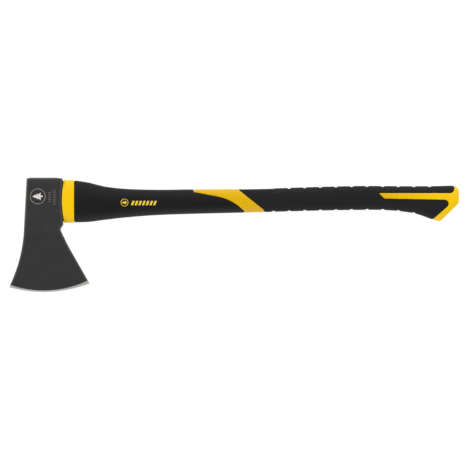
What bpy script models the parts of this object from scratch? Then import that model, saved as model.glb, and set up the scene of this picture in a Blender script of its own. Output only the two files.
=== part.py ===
"""A felling axe: forged head bonded to a fibreglass-cored handle in a two-colour moulding.

The axe lies flat on its side. +X runs along the handle from the head to the
butt, +Y points to the poll and -Y to the cutting edge, and +Z is up, through
the thickness. The origin is on the rest plane, under the centre of the eye.
Sizes are in metres.
"""
import math

import bmesh
import bpy
from mathutils import Matrix, Vector

GAP = 0.0003                  # between pieces that touch
HALF_THICKNESS = 0.0165       # half the thickness over the head's cheeks
MID_Z = HALF_THICKNESS        # height of the axe's mid-plane
CUTTER_REACH = 0.022          # half depth of a cutter that passes right through

# Head. The cutting edge is an arc about a point on the poll side, ground from both faces.
EDGE_CENTRE = (-0.001, 0.0625)
EDGE_RADIUS = 0.206
EDGE_STEPS = 200
GRIND_ANGLE = math.radians(19)
REAR_FACE_X = 0.0268          # middle of the dished face that meets the collar
REAR_FACE_DISH = 0.468        # twice the radius of the dish
REAR_FACE_MIDDLE = 0.002
REAR_FACE_HALF = 0.033
POLL_Y = 0.0372

# Eye: an oval hole along X, wider at the top of the head so that the set resin locks.
EYE_FOOT = (0.0270, 0.0250, 0.0112)       # x, half height, half width
EYE_TOP = (-0.0300, 0.0268, 0.0124)
RESIN_THICKNESS = 0.0018
RESIN_SPAN = (-0.0266, 0.0216)            # the resin also covers the tongue's end
DAM_SPAN = (0.0219, 0.0264)
TONGUE_SPAN = (-0.0245, 0.0450)

# Core: a straight pultruded bar with round long edges.
CORE_SPAN = (-0.0242, 0.6200)
CORE_Y = 0.0015
CORE_HALF_HEIGHT = 0.0110
CORE_HALF_WIDTH = 0.0070
CORE_POINTS = 24

# Handle stations: x, spine, belly, half thickness.
HANDLE_STATIONS = (
    (0.0240, 0.0334, -0.0334, 0.0161),
    (0.0470, 0.0334, -0.0334, 0.0161),
    (0.0600, 0.0315, -0.0331, 0.0159),
    (0.0730, 0.0289, -0.0324, 0.0156),
    (0.0860, 0.0255, -0.0309, 0.0152),
    (0.0980, 0.0229, -0.0293, 0.0148),
    (0.1270, 0.0197, -0.0260, 0.0142),
    (0.1740, 0.0182, -0.0223, 0.0137),
    (0.2310, 0.0187, -0.0202, 0.0136),
    (0.3450, 0.0199, -0.0174, 0.0138),
    (0.4210, 0.0223, -0.0152, 0.0141),
    (0.4970, 0.0241, -0.0139, 0.0146),
    (0.5400, 0.0240, -0.0142, 0.0151),
    (0.5720, 0.0238, -0.0172, 0.0156),
    (0.5920, 0.0238, -0.0213, 0.0160),
    (0.6200, 0.0240, -0.0314, 0.0164),
    (0.6400, 0.0245, -0.0370, 0.0165),
    (0.6600, 0.0245, -0.0410, 0.0165),
)
SECTION_POWER = 2.5           # 2 is an ellipse, more is squarer
SECTION_POINTS = 28
STATION_SPACING = 0.0145
SKIN = 0.0026                 # thickness of the black mouldings over the yellow one
UNDER_SKIN_SPAN = (0.0400, 0.6400)        # the yellow body under the black mouldings

# Grip notches: shallow channels across the spine and the belly.
NOTCH_COUNT = 10
NOTCH_PITCH = 0.02466
NOTCH_WIDTH = 0.0050
NOTCH_DEPTH = 0.0013
NOTCH_BLOCK = 0.0060          # height of the block that cuts a notch
SPINE_NOTCH_START = 0.3871
BELLY_NOTCH_START = 0.3639


def rear_face_x(y):
    """Return where the head's dished rear face is at the height y."""
    return REAR_FACE_X + (y - REAR_FACE_MIDDLE) ** 2 / REAR_FACE_DISH


def rear_face_heights(half_span, steps):
    """Return evenly spaced heights along the rear face, from the belly side up."""
    return [REAR_FACE_MIDDLE + half_span * (2 * i / steps - 1) for i in range(steps + 1)]


# Side outlines: x, y and the radius of the corner there.
HEAD_OUTLINE = (
    [(-0.0270, 0.0358, 0.0010), (-0.0341, -0.0851, 0.2330), (-0.0613, -0.1500, 0)]
    + [(0.0817, -0.1500, 0), (0.0368, -0.0693, 0.1500)]
    + [(0.0250, -0.0445, 0.0050), (0.0300, -0.0370, 0.0030)]
    + [(rear_face_x(y), y, 0) for y in rear_face_heights(REAR_FACE_HALF, 8)]
    + [(0.0210, POLL_Y, 0.0100), (-0.0210, POLL_Y, 0.0100)]
)
CHEEK_PROFILE = (             # y, half thickness and corner radius, from the poll down
    (0.0420, 0.0130, 0),
    (0.0290, HALF_THICKNESS, 0.0200),
    (-0.0350, HALF_THICKNESS, 0.0250),
    (-0.0520, 0.0075, 0.0500),
    (-0.1500, 0.0003, 0),
)
HANDLE_OUTLINE = (
    [(rear_face_x(y) + GAP, y, 0) for y in rear_face_heights(0.046, 12)]
    + [(0.6340, 0.0460, 0), (0.6553, 0.0187, 0.0060), (0.6553, -0.0005, 0.0030)]
    + [(0.6253, -0.0313, 0.0040), (0.5800, -0.0313, 0), (0.5000, -0.0440, 0)]
)
SLEEVE_OUTLINE = (
    (0.0472, 0.0460, 0),
    (0.0472, -0.0460, 0),
    (0.3450, -0.0460, 0),
    (0.2968, 0.0031, 0.0770),
    (0.2360, 0.0153, 0.0010),
    (0.2360, 0.0460, 0),
)
GRIP_OUTLINE = (
    (0.2742, 0.0460, 0),
    (0.3468, -0.0143, 0.0015),
    (0.3474, -0.0440, 0),
    (0.5949, -0.0440, 0),
    (0.6486, 0.0022, 0.0065),
    (0.5376, 0.0040, 0.0005),
    (0.5283, 0.0131, 0.0005),
    (0.6477, 0.0131, 0.0070),
    (0.6477, 0.0460, 0),
)


def clear_scene():
    """Remove what the scene holds at the start."""
    for item in list(bpy.data.objects):
        bpy.data.objects.remove(item, do_unlink=True)


def make_collection(name):
    """Make a collection in the scene."""
    collection = bpy.data.collections.new(name)
    bpy.context.scene.collection.children.link(collection)
    return collection


clear_scene()
PARTS = make_collection("felling_axe")
CUTTERS = make_collection("cutters")


def make_material(name, colour, roughness, metallic=0.0):
    """Make a Principled material from a linear colour."""
    material = bpy.data.materials.new(name)
    material.use_nodes = True
    shader = material.node_tree.nodes["Principled BSDF"]
    shader.inputs["Base Color"].default_value = (*colour, 1)
    shader.inputs["Roughness"].default_value = roughness
    shader.inputs["Metallic"].default_value = metallic
    material.diffuse_color = (*colour, 1)
    return material


def add_cutter(name, mesh):
    """Add an object that only cuts or guides other pieces."""
    cutter = bpy.data.objects.new(name, mesh)
    cutter.hide_render = True
    cutter.display_type = "WIRE"
    CUTTERS.objects.link(cutter)
    return cutter


def add_part(name, mesh, material):
    """Add a piece of the axe."""
    part = bpy.data.objects.new(name, mesh)
    mesh.materials.clear()
    mesh.materials.append(material)
    PARTS.objects.link(part)
    return part


def boolean(target, other, operation="DIFFERENCE"):
    """Cut, join or intersect a piece with another one."""
    modifier = target.modifiers.new(f"{operation.lower()} {other.name}", "BOOLEAN")
    modifier.operation = operation
    modifier.solver = "EXACT"
    modifier.object = other
    return target


def round_corners(outline):
    """Return the points of an outline whose corners are arcs of the given radii."""
    points = []
    for i, (x, y, radius) in enumerate(outline):
        corner = Vector((x, y))
        if radius == 0:
            points.append(corner)
            continue
        before = Vector(outline[i - 1][:2]) - corner
        after = Vector(outline[(i + 1) % len(outline)][:2]) - corner
        half_angle = before.angle(after) / 2
        reach = radius / math.tan(half_angle)
        middle = (before.normalized() + after.normalized()).normalized()
        centre = corner + middle * (radius / math.sin(half_angle))
        start = corner + before.normalized() * reach - centre
        end = corner + after.normalized() * reach - centre
        turn = start.angle_signed(end)
        steps = max(3, math.ceil(abs(turn) / math.radians(12)))
        for step in range(steps + 1):
            points.append(centre + Matrix.Rotation(-turn * step / steps, 2) @ start)
    return points


def outline_prism(name, outline, half_depth, offset=0.0, placement=None):
    """Extrude a flat outline both ways into a closed solid."""
    curve = bpy.data.curves.new(name, "CURVE")
    curve.dimensions = "2D"
    curve.fill_mode = "BOTH"
    curve.extrude = half_depth
    curve.offset = offset
    points = round_corners(outline)
    spline = curve.splines.new("POLY")
    spline.points.add(len(points) - 1)
    for spline_point, point in zip(spline.points, points):
        spline_point.co = (point.x, point.y, 0, 1)
    spline.use_cyclic_u = True
    guide = bpy.data.objects.new(name, curve)
    guide.matrix_world = placement or Matrix.Translation((0, 0, MID_Z))
    CUTTERS.objects.link(guide)
    evaluated = guide.evaluated_get(bpy.context.evaluated_depsgraph_get())
    mesh = bpy.data.meshes.new_from_object(evaluated)
    mesh.transform(guide.matrix_world)
    weld(mesh)
    bpy.data.objects.remove(guide, do_unlink=True)
    return mesh


def weld(mesh):
    """Weld a mesh's coincident vertices and turn its faces outward."""
    work = bmesh.new()
    work.from_mesh(mesh)
    bmesh.ops.remove_doubles(work, verts=work.verts, dist=0.000001)
    bmesh.ops.recalc_face_normals(work, faces=work.faces)
    work.to_mesh(mesh)
    work.free()


def loft(name, rings):
    """Join rings of points along X into one closed solid with flat ends."""
    work = bmesh.new()
    loops = [[work.verts.new(point) for point in ring] for ring in rings]
    for near, far in zip(loops, loops[1:]):
        for i in range(len(near)):
            j = (i + 1) % len(near)
            work.faces.new((near[i], near[j], far[j], far[i]))
    work.faces.new(loops[0])
    work.faces.new(loops[-1])
    bmesh.ops.recalc_face_normals(work, faces=work.faces)
    mesh = bpy.data.meshes.new(name)
    work.to_mesh(mesh)
    work.free()
    return mesh


def oval(x, top, bottom, half_width, power=2.0, count=SECTION_POINTS):
    """Return a rounded section across X, from one height to another."""
    centre = (top + bottom) / 2
    half_height = (top - bottom) / 2
    ring = []
    for i in range(count):
        angle = 2 * math.pi * (i + 0.5) / count
        across, along = math.sin(angle), math.cos(angle)
        y = centre + half_height * math.copysign(abs(along) ** (2 / power), along)
        z = MID_Z + half_width * math.copysign(abs(across) ** (2 / power), across)
        ring.append((x, y, z))
    return ring


def station_slope(index, column):
    """Return how fast a column of the handle stations changes at one of them."""
    first = HANDLE_STATIONS[max(index - 1, 0)]
    last = HANDLE_STATIONS[min(index + 1, len(HANDLE_STATIONS) - 1)]
    return (last[column] - first[column]) / (last[0] - first[0])


def handle_size(x):
    """Return the handle's spine, belly and half thickness at x, smooth through the stations."""
    after = next((i for i, s in enumerate(HANDLE_STATIONS) if s[0] >= x), 1)
    after = max(after, 1)
    start, end = HANDLE_STATIONS[after - 1], HANDLE_STATIONS[after]
    length = end[0] - start[0]
    t = (x - start[0]) / length
    sizes = []
    for column in (1, 2, 3):
        leave = station_slope(after - 1, column) * length
        arrive = station_slope(after, column) * length
        rise = end[column] - start[column]
        cubic = leave + arrive - 2 * rise
        square = 3 * rise - 2 * leave - arrive
        sizes.append(start[column] + t * (leave + t * (square + t * cubic)))
    return sizes


def handle_loft(name, start, end, inset=0.0):
    """Loft the handle's outer surface, or one that lies inside it by the inset."""
    count = math.ceil((end - start) / STATION_SPACING)
    rings = []
    for i in range(count + 1):
        x = start + (end - start) * i / count
        spine, belly, half_width = handle_size(x)
        section = (spine - inset, belly + inset, half_width - inset)
        rings.append(oval(x, *section, power=SECTION_POWER))
    return loft(name, rings)


def eye_loft(name, span, inset=0.0):
    """Loft the eye's tapered oval over a span of X, smaller by the inset all round."""
    rings = []
    for x in span:
        t = (x - EYE_TOP[0]) / (EYE_FOOT[0] - EYE_TOP[0])
        half_height = EYE_TOP[1] + t * (EYE_FOOT[1] - EYE_TOP[1]) - inset
        half_width = EYE_TOP[2] + t * (EYE_FOOT[2] - EYE_TOP[2]) - inset
        rings.append(oval(x, half_height, -half_height, half_width))
    return loft(name, rings)


def edge_grind(name):
    """Turn the double cone whose rim is the cutting edge."""
    drop = CUTTER_REACH / math.tan(GRIND_ANGLE)
    profile = [(0, CUTTER_REACH), (EDGE_RADIUS - drop, CUTTER_REACH), (EDGE_RADIUS, 0)]
    profile += [(EDGE_RADIUS - drop, -CUTTER_REACH), (0, -CUTTER_REACH)]
    mesh = bpy.data.meshes.new(name)
    points = [(radius, 0, height) for radius, height in profile]
    mesh.from_pydata(points, [(i, i + 1) for i in range(len(points) - 1)], [])
    grind = add_cutter(name, mesh)
    grind.location = (*EDGE_CENTRE, MID_Z)
    screw = grind.modifiers.new("turn", "SCREW")
    screw.steps = screw.render_steps = EDGE_STEPS
    screw.use_merge_vertices = True
    screw.merge_threshold = 0.0001
    return grind


def make_head(material):
    """Forge the head: side outline, cheek taper and ground edge in one solid, with its eye."""
    head = add_part("axe_head", outline_prism("head", HEAD_OUTLINE, CUTTER_REACH), material)
    upper = [(y, half, radius) for y, half, radius in CHEEK_PROFILE]
    lower = [(y, -half, radius) for y, half, radius in reversed(CHEEK_PROFILE)]
    across = Matrix(((0, 0, 1, 0), (1, 0, 0, 0), (0, 1, 0, MID_Z), (0, 0, 0, 1)))
    taper = outline_prism("cheek_taper", upper + lower, 0.1, placement=across)
    boolean(head, add_cutter("cheek_taper", taper), "INTERSECT")
    boolean(head, edge_grind("edge_grind"), "INTERSECT")
    eye = eye_loft("eye_hole", (EYE_TOP[0] - 0.01, EYE_FOOT[0] + 0.01))
    boolean(head, add_cutter("eye_hole", eye))
    return head


def make_core(material):
    """Make the fibreglass bar, and the channel that it fills."""
    flat = CORE_HALF_HEIGHT - CORE_HALF_WIDTH

    def bar(name, span, grow):
        rings = []
        for x in span:
            ring = []
            for i in range(CORE_POINTS):
                angle = 2 * math.pi * (i + 0.5) / CORE_POINTS
                shift = math.copysign(flat, math.cos(angle))
                y = CORE_Y + shift + (CORE_HALF_WIDTH + grow) * math.cos(angle)
                ring.append((x, y, MID_Z + (CORE_HALF_WIDTH + grow) * math.sin(angle)))
            rings.append(ring)
        return loft(name, rings)

    channel = bar("core_channel", (TONGUE_SPAN[0] - 0.01, CORE_SPAN[1] + GAP), GAP)
    add_part("core_rod", bar("core_rod", CORE_SPAN, 0), material)
    return add_cutter("core_channel", channel)


def make_skin(name, outline, material):
    """Mould a black skin inside a side outline, and return the room that it takes."""
    whole = handle_loft(name, HANDLE_STATIONS[0][0], HANDLE_STATIONS[-1][0])
    skin = add_part(name, whole, material)
    shape = add_cutter(f"{name}_outline", outline_prism(name, outline, CUTTER_REACH))
    boolean(skin, shape, "INTERSECT")
    inside = handle_loft(name, HANDLE_STATIONS[0][0], HANDLE_STATIONS[-1][0], SKIN)
    boolean(skin, add_cutter(f"{name}_inside", inside))
    room = outline_prism(name, outline, CUTTER_REACH, offset=GAP)
    room = add_cutter(f"{name}_room", room)
    return skin, room


def make_handle_body(material, rooms, channel):
    """Mould the yellow body: tongue, collar, bands and butt, hollow for the core."""
    whole = handle_loft("handle_body", HANDLE_STATIONS[0][0], HANDLE_STATIONS[-1][0])
    body = add_part("handle_body", whole, material)
    shape = outline_prism("handle_outline", HANDLE_OUTLINE, CUTTER_REACH)
    boolean(body, add_cutter("handle_outline", shape), "INTERSECT")
    for room in rooms:
        boolean(body, room)
    under = handle_loft("under_skins", *UNDER_SKIN_SPAN, SKIN + GAP)
    boolean(body, add_cutter("under_skins", under), "UNION")
    tongue = eye_loft("tongue", TONGUE_SPAN, RESIN_THICKNESS)
    boolean(body, add_cutter("tongue", tongue), "UNION")
    boolean(body, channel)
    return body


def make_eye_filling(name, span, tongue_room, material):
    """Fill the eye round the tongue over a span of X."""
    filling = add_part(name, eye_loft(name, span, GAP), material)
    boolean(filling, tongue_room)
    return filling


def notch_cutter():
    """Make the blocks that cut the notches, square to the spine and the belly."""
    work = bmesh.new()
    for side, first in ((0, SPINE_NOTCH_START), (1, BELLY_NOTCH_START)):
        for i in range(NOTCH_COUNT):
            x = first + i * NOTCH_PITCH
            here, ahead = handle_size(x)[side], handle_size(x + 0.001)[side]
            outward = 1 if side == 0 else -1
            place = Matrix.Translation((x, here, MID_Z))
            place @= Matrix.Rotation(math.atan((ahead - here) / 0.001), 4, "Z")
            place @= Matrix.Translation((0, outward * (NOTCH_BLOCK / 2 - NOTCH_DEPTH), 0))
            place @= Matrix.Diagonal((NOTCH_WIDTH, NOTCH_BLOCK, 2 * CUTTER_REACH, 1))
            bmesh.ops.create_cube(work, size=1, matrix=place)
    mesh = bpy.data.meshes.new("notches")
    work.to_mesh(mesh)
    work.free()
    return add_cutter("notches", mesh)


def build():
    """Make every piece of the axe."""
    coated_steel = make_material("coated_steel", (0.035, 0.033, 0.034), 0.45, 0.6)
    yellow_plastic = make_material("yellow_plastic", (0.90, 0.57, 0.003), 0.4)
    sleeve_plastic = make_material("sleeve_plastic", (0.021, 0.020, 0.020), 0.55)
    grip_rubber = make_material("grip_rubber", (0.020, 0.018, 0.018), 0.75)
    fibreglass = make_material("fibreglass", (0.75, 0.62, 0.33), 0.5)
    resin = make_material("resin", (0.05, 0.045, 0.04), 0.3)
    foam = make_material("dam_foam", (0.10, 0.10, 0.10), 0.9)

    make_head(coated_steel)
    channel = make_core(fibreglass)
    room_span = (TONGUE_SPAN[0] - GAP, TONGUE_SPAN[1])
    tongue_room = eye_loft("tongue_room", room_span, RESIN_THICKNESS - GAP)
    tongue_room = add_cutter("tongue_room", tongue_room)
    make_eye_filling("eye_resin", RESIN_SPAN, tongue_room, resin)
    make_eye_filling("dam_ring", DAM_SPAN, tongue_room, foam)
    sleeve, sleeve_room = make_skin("front_sleeve", SLEEVE_OUTLINE, sleeve_plastic)
    grip, grip_room = make_skin("rear_grip", GRIP_OUTLINE, grip_rubber)
    boolean(grip, notch_cutter())
    make_handle_body(yellow_plastic, (sleeve_room, grip_room), channel)


build()
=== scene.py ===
import math

import bmesh
import bpy
import numpy as np
from mathutils import Matrix, Vector, noise
from mathutils.geometry import delaunay_2d_cdt


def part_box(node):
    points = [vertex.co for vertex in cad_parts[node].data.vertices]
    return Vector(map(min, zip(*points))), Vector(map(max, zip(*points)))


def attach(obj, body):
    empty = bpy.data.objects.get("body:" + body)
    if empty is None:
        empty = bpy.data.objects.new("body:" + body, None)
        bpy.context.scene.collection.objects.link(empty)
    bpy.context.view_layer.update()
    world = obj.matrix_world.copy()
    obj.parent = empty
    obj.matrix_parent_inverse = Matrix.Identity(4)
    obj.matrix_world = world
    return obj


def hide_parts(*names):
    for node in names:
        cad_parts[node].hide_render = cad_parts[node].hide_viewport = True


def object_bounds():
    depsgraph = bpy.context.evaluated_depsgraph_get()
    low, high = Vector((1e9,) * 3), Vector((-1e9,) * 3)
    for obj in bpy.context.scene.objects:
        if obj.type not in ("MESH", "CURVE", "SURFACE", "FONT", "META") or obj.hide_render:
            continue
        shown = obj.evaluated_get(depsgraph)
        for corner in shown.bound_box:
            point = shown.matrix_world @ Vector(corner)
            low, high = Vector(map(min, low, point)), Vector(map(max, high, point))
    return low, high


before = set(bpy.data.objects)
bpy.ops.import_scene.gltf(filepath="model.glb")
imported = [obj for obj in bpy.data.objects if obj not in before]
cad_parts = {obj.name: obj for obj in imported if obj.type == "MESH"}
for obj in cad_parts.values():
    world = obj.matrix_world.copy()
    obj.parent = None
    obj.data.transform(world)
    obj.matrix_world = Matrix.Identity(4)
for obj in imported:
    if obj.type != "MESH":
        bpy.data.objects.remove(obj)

cad_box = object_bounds()
MID_Z = (cad_box[0].z + cad_box[1].z) / 2

# ---------------------------------------------------------------------------
# The table and the light
# The axe lies on its side on a plain white top, seen from straight above, in a
# bright room with two large soft lamps past the poll and a weaker one past the edge.
# ---------------------------------------------------------------------------
VIEW_WIDTH = 0.743            # what the camera takes in at the axe's mid-plane
CAMERA_RISE = 12.0            # so high that the axe's thickness hardly shows
CAMERA_SHIFT = (0.0015, -0.0003)
SENSOR = 36
WALL_GLOW, CEILING_GLOW, FLOOR_GLOW = 0.95, 0.12, 0.96
LAMPS = (                     # name, place, power in watts
    ("left_key", (-1.4, 1.3, 1.7), 30), ("right_key", (2.0, 1.3, 1.7), 15),
    ("fill", (0.2, -2.4, 0.9), 9))
LAMP_SIZE = 2.0
FLOOR_HALF = 4.0
FLOOR_DROP = 0.0004           # keeps the floor clear of the lowest faces


def linear(code):
    """Turn an sRGB hex code such as "F5B800" into linear red, green, blue and alpha."""
    channels = [int(code[i:i + 2], 16) / 255 for i in (0, 2, 4)]
    return [c / 12.92 if c <= 0.04045 else ((c + 0.055) / 1.055) ** 2.4 for c in channels] + [1]


def add_node(tree, kind, inputs=None, **settings):
    """Add a node; inputs maps a socket to a value, or to the socket or the node that feeds it."""
    made = tree.nodes.new(kind)
    for name, value in settings.items():
        setattr(made, name, value)
    for socket, value in (inputs or {}).items():
        if isinstance(value, bpy.types.Node):
            value = next(output for output in value.outputs if output.enabled)
        if isinstance(value, bpy.types.NodeSocket):
            tree.links.new(value, made.inputs[socket])
        else:
            made.inputs[socket].default_value = value
    return made


def new_material(name):
    """Make an empty material, and return it, its tree and the object's coordinates in it."""
    material = bpy.data.materials.new(name)
    material.use_nodes = True
    tree = material.node_tree
    tree.nodes.clear()
    return material, tree, add_node(tree, "ShaderNodeTexCoord").outputs["Object"]


def end_material(tree, inputs, height=None, strength=1.0, distance=0.0):
    """End a material's tree in its shader, with the height as relief where one is given."""
    if height:
        inputs["Normal"] = add_node(tree, "ShaderNodeBump", {
            "Height": height, "Strength": strength, "Distance": distance})
    shader = add_node(tree, "ShaderNodeBsdfPrincipled", inputs)
    add_node(tree, "ShaderNodeOutputMaterial", {"Surface": shader})


def add_object(name, data):
    """Put an object with this data in the scene."""
    made = bpy.data.objects.new(name, data)
    bpy.context.scene.collection.objects.link(made)
    return made


camera = add_object("camera", bpy.data.cameras.new("camera"))
camera.data.sensor_width = SENSOR
camera.data.lens = SENSOR * CAMERA_RISE / VIEW_WIDTH
middle = (cad_box[0] + cad_box[1]) / 2
camera.location = middle + Vector((*CAMERA_SHIFT, CAMERA_RISE))
bpy.context.scene.camera = camera
bpy.context.scene.view_settings.view_transform = "Standard"

# Bright walls and floor under a dim ceiling, so that what faces up stays dark.
world = bpy.data.worlds.new("room")
world.use_nodes = True
sky = world.node_tree
sky.nodes.clear()
direction = add_node(sky, "ShaderNodeTexCoord").outputs["Generated"]
rise = add_node(sky, "ShaderNodeSeparateXYZ", {0: direction}).outputs[2]
glow = add_node(sky, "ShaderNodeMapRange", {
    "Value": rise, "From Min": 0.62, "From Max": 0.99, "To Min": WALL_GLOW, "To Max": CEILING_GLOW},
    interpolation_type="SMOOTHSTEP")
backdrop = add_node(sky, "ShaderNodeBackground", {
    "Color": linear("FFFFFF"), "Strength": glow})
add_node(sky, "ShaderNodeOutputWorld", {"Surface": backdrop})
bpy.context.scene.world = world

floor_mesh = bpy.data.meshes.new("floor")
corners = [(x * FLOOR_HALF, y * FLOOR_HALF) for x, y in ((-1, -1), (1, -1), (1, 1), (-1, 1))]
floor_z = cad_box[0].z - FLOOR_DROP
floor_mesh.from_pydata([(x, y, floor_z) for x, y in corners], [], [(0, 1, 2, 3)])
floor = add_object("floor", floor_mesh)

# A white light table: opal acrylic lit from below, so that the axe casts no shade.
opal, tree, _ = new_material("lit_opal_acrylic")
end_material(tree, {
    "Base Color": linear("626262"), "Roughness": 0.9, "Specular IOR Level": 0.0,
    "Emission Color": linear("FFFFFF"), "Emission Strength": FLOOR_GLOW})
floor_mesh.materials.append(opal)

for name, spot, power in LAMPS:
    lamp = add_object(name, bpy.data.lights.new(name, "AREA"))
    lamp.data.shape = "DISK"
    lamp.data.size = LAMP_SIZE
    lamp.data.energy = power
    lamp.location = spot
    lamp.rotation_euler = (middle - lamp.location).to_track_quat("-Z", "Y").to_euler()

# ---------------------------------------------------------------------------
# Forged head
# One drop forging in carbon steel, black coated all over and then ground bare
# along the curved edge. The eye goes right through along the handle.
# ---------------------------------------------------------------------------
HALF = cad_box[1].z - MID_Z               # half thickness over the cheeks
EDGE_CENTRE = np.array((-0.001, 0.0625))
EDGE_RADIUS = 0.206
EDGE_LAND = 0.0001                        # half thickness of the worn edge itself
GRIND_SLOPE = math.tan(math.radians(19))
REAR_FACE_X = 0.0268
REAR_FACE_DISH = 0.468
REAR_FACE_MIDDLE = 0.002
HEAD_ROUNDING = 0.0019
ROUNDING_FADE = 0.008                     # above the bevel, where the rounded sides run out
THIN_SHARE = 0.6                          # of the half thickness, the most that they take
HEAD_GRID = 0.0016
RIM_ROOM, BEVEL_ROOM = 0.0007, 0.0008     # between that grid and the lines that it meets
SIDE_STOP = 0.0065                        # above the edge, where the lines along the sides end
BEVEL_REACH = 0.03                        # no bevel is longer than this
UNEVEN, WAVE = 0.00005, 0.014             # height and length of the forging's soft waves
WAVE_START = 0.002                        # half thickness where they begin
WAVE_LEVEL = 0.6                          # keeps nearly all of them below the die's surface
EYE_FOOT = (0.0270, 0.0250, 0.0112)       # x, half height, half width
EYE_TOP = (-0.0300, 0.0268, 0.0124)
WEAR_AND_HIGHLIGHT_WIDTH, WEAR_AND_HIGHLIGHT_DROP = 0.0019, 0.0017      # how far the wear and the painted highlight reach over an edge's two sides
LOW_WEAR_AND_HIGHLIGHT, REAR_WEAR_AND_HIGHLIGHT = (-0.04, 0.6), (0.02, 0.4)    # below this y, or past this x, the share of it
SEAM = 1e-7                               # closer to the mid-plane than this is on it
TOUCH = 0.00002                           # closer to an outline than this is on it
SLIVER = 1e-6                             # edges shorter than this are closed up


def rear_face_x(y):
    """Return where the dished face that meets the collar is, at the height y."""
    return REAR_FACE_X + (y - REAR_FACE_MIDDLE) ** 2 / REAR_FACE_DISH


def round_corners(outline, step=math.radians(8)):
    """Return the points of an outline of x, y and corner radius, its corners turned to arcs."""
    points = []
    for i, (x, y, radius) in enumerate(outline):
        corner = Vector((x, y))
        if radius == 0:
            points.append(corner)
            continue
        before = (Vector(outline[i - 1][:2]) - corner).normalized()
        after = (Vector(outline[(i + 1) % len(outline)][:2]) - corner).normalized()
        half_angle = before.angle(after) / 2
        centre = corner + (before + after).normalized() * (radius / math.sin(half_angle))
        start = corner + before * (radius / math.tan(half_angle)) - centre
        end = corner + after * (radius / math.tan(half_angle)) - centre
        turn = start.angle_signed(end)
        steps = max(3, math.ceil(abs(turn) / step))
        points += [centre + Matrix.Rotation(-turn * k / steps, 2) @ start for k in range(steps + 1)]
    return np.array([point[:] for point in points])


def spaced(outline, gap):
    """Return a closed outline with points no further apart than the gap."""
    points = []
    for start, end in zip(outline, np.roll(outline, -1, axis=0)):
        steps = max(1, math.ceil(np.linalg.norm(end - start) / gap))
        points += [start + (end - start) * k / steps for k in range(steps)]
    return np.array(points)


def depth_inside(points, outline, closed=True):
    """Return how far points lie from an outline, positive inside a closed one."""
    starts, ends = outline, np.roll(outline, -1, axis=0)
    if not closed:
        starts, ends = outline[:-1], outline[1:]
    runs = ends - starts
    lengths = np.maximum((runs ** 2).sum(axis=1), 1e-18)
    depths = []
    for part in np.array_split(points, max(1, len(points) // 2000)):
        to_start = part[:, None, :] - starts[None]
        along = np.clip((to_start * runs).sum(axis=2) / lengths, 0, 1)
        nearest = to_start - along[..., None] * runs
        distance = np.sqrt((nearest ** 2).sum(axis=2)).min(axis=1)
        if closed:
            above = starts[None, :, 1] > part[:, None, 1]
            crosses = above != (ends[None, :, 1] > part[:, None, 1])
            rise = np.where(np.abs(runs[:, 1]) < 1e-15, 1e-15, runs[:, 1])
            cut = starts[:, 0] + (part[:, None, 1] - starts[:, 1]) * runs[:, 0] / rise
            inside = (crosses & (part[:, None, 0] < cut)).sum(axis=1) % 2 == 1
            distance = np.where(inside, distance, -distance)
        depths.append(distance)
    return np.concatenate(depths)


def inner_ring(outline, depth):
    """Return a closed outline moved inward by the depth, without the points that cross over."""
    ahead = np.roll(outline, -1, axis=0) - np.roll(outline, 1, axis=0)
    ahead /= np.linalg.norm(ahead, axis=1)[:, None]
    inward = np.stack((-ahead[:, 1], ahead[:, 0]), axis=1)
    x, y = outline[:, 0], outline[:, 1]
    if (x * np.roll(y, -1) - y * np.roll(x, -1)).sum() < 0:
        inward = -inward
    ring = outline + inward * depth
    kept = np.abs(depth_inside(ring, outline)) > abs(depth) - TOUCH
    return ring[kept]


def rounding(depth, radius):
    """Return how far a rounded edge has dropped at a depth inside it."""
    short = np.clip(radius - depth, 0, radius)
    return radius - np.sqrt(np.maximum(radius ** 2 - short ** 2, 0))


def triangulate(points, edges, keep):
    """Join flat points into triangles that respect the edges, where keep says so."""
    found = delaunay_2d_cdt([Vector(p) for p in points], edges, [], 0, SEAM)
    flat = np.array([v[:] for v in found[0]])
    triangles = np.array(found[2])
    triangles = triangles[keep(flat[triangles].mean(axis=1))]
    used, triangles = np.unique(triangles, return_inverse=True)
    return flat[used], triangles.reshape(-1, 3)


def grid_of(xs, ys):
    """Return the points of a grid with these x and y."""
    return np.stack(np.meshgrid(xs, ys), axis=2).reshape(-1, 2)


def grid_over(outline, gap):
    """Return the points of an even grid over an outline's box."""
    box = zip(outline.min(axis=0), outline.max(axis=0))
    return grid_of(*(np.arange(low, high, gap) for low, high in box))


def join_ring(ring, first, closed=True):
    """Return the edges that join a ring's points, counted from the first one's number."""
    count = len(ring)
    return [(first + i, first + (i + 1) % count) for i in range(count if closed else count - 1)]


def open_edges(triangles):
    """Return the edges that only one triangle has, in its direction."""
    pairs = {(int(t[i]), int(t[(i + 1) % 3])) for t in triangles for i in range(3)}
    return [(a, b) for a, b in sorted(pairs) if (b, a) not in pairs]


def mirrored(points, triangles):
    """Add a surface's mirror image below the mid-plane, sharing the points on it."""
    off_plane = np.abs(points[:, 2] - MID_Z) > SEAM
    twin = np.arange(len(points))
    twin[off_plane] = len(points) + np.arange(off_plane.sum())
    image = points[off_plane] * (1, 1, -1) + (0, 0, 2 * MID_Z)
    return np.vstack((points, image)), np.vstack((triangles, twin[triangles][:, ::-1])), twin


def solid_from_half(points, triangles):
    """Close an upper surface into a solid: its mirror image, and walls round the rim."""
    both, faces, twin = mirrored(points, triangles)
    faces = faces.tolist()
    for a, b in open_edges(triangles):
        wall = [b, a, int(twin[a]), int(twin[b])]
        wall = [v for i, v in enumerate(wall) if v not in wall[:i]]
        if len(wall) > 2:
            faces.append(wall)
    return both, faces


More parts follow.
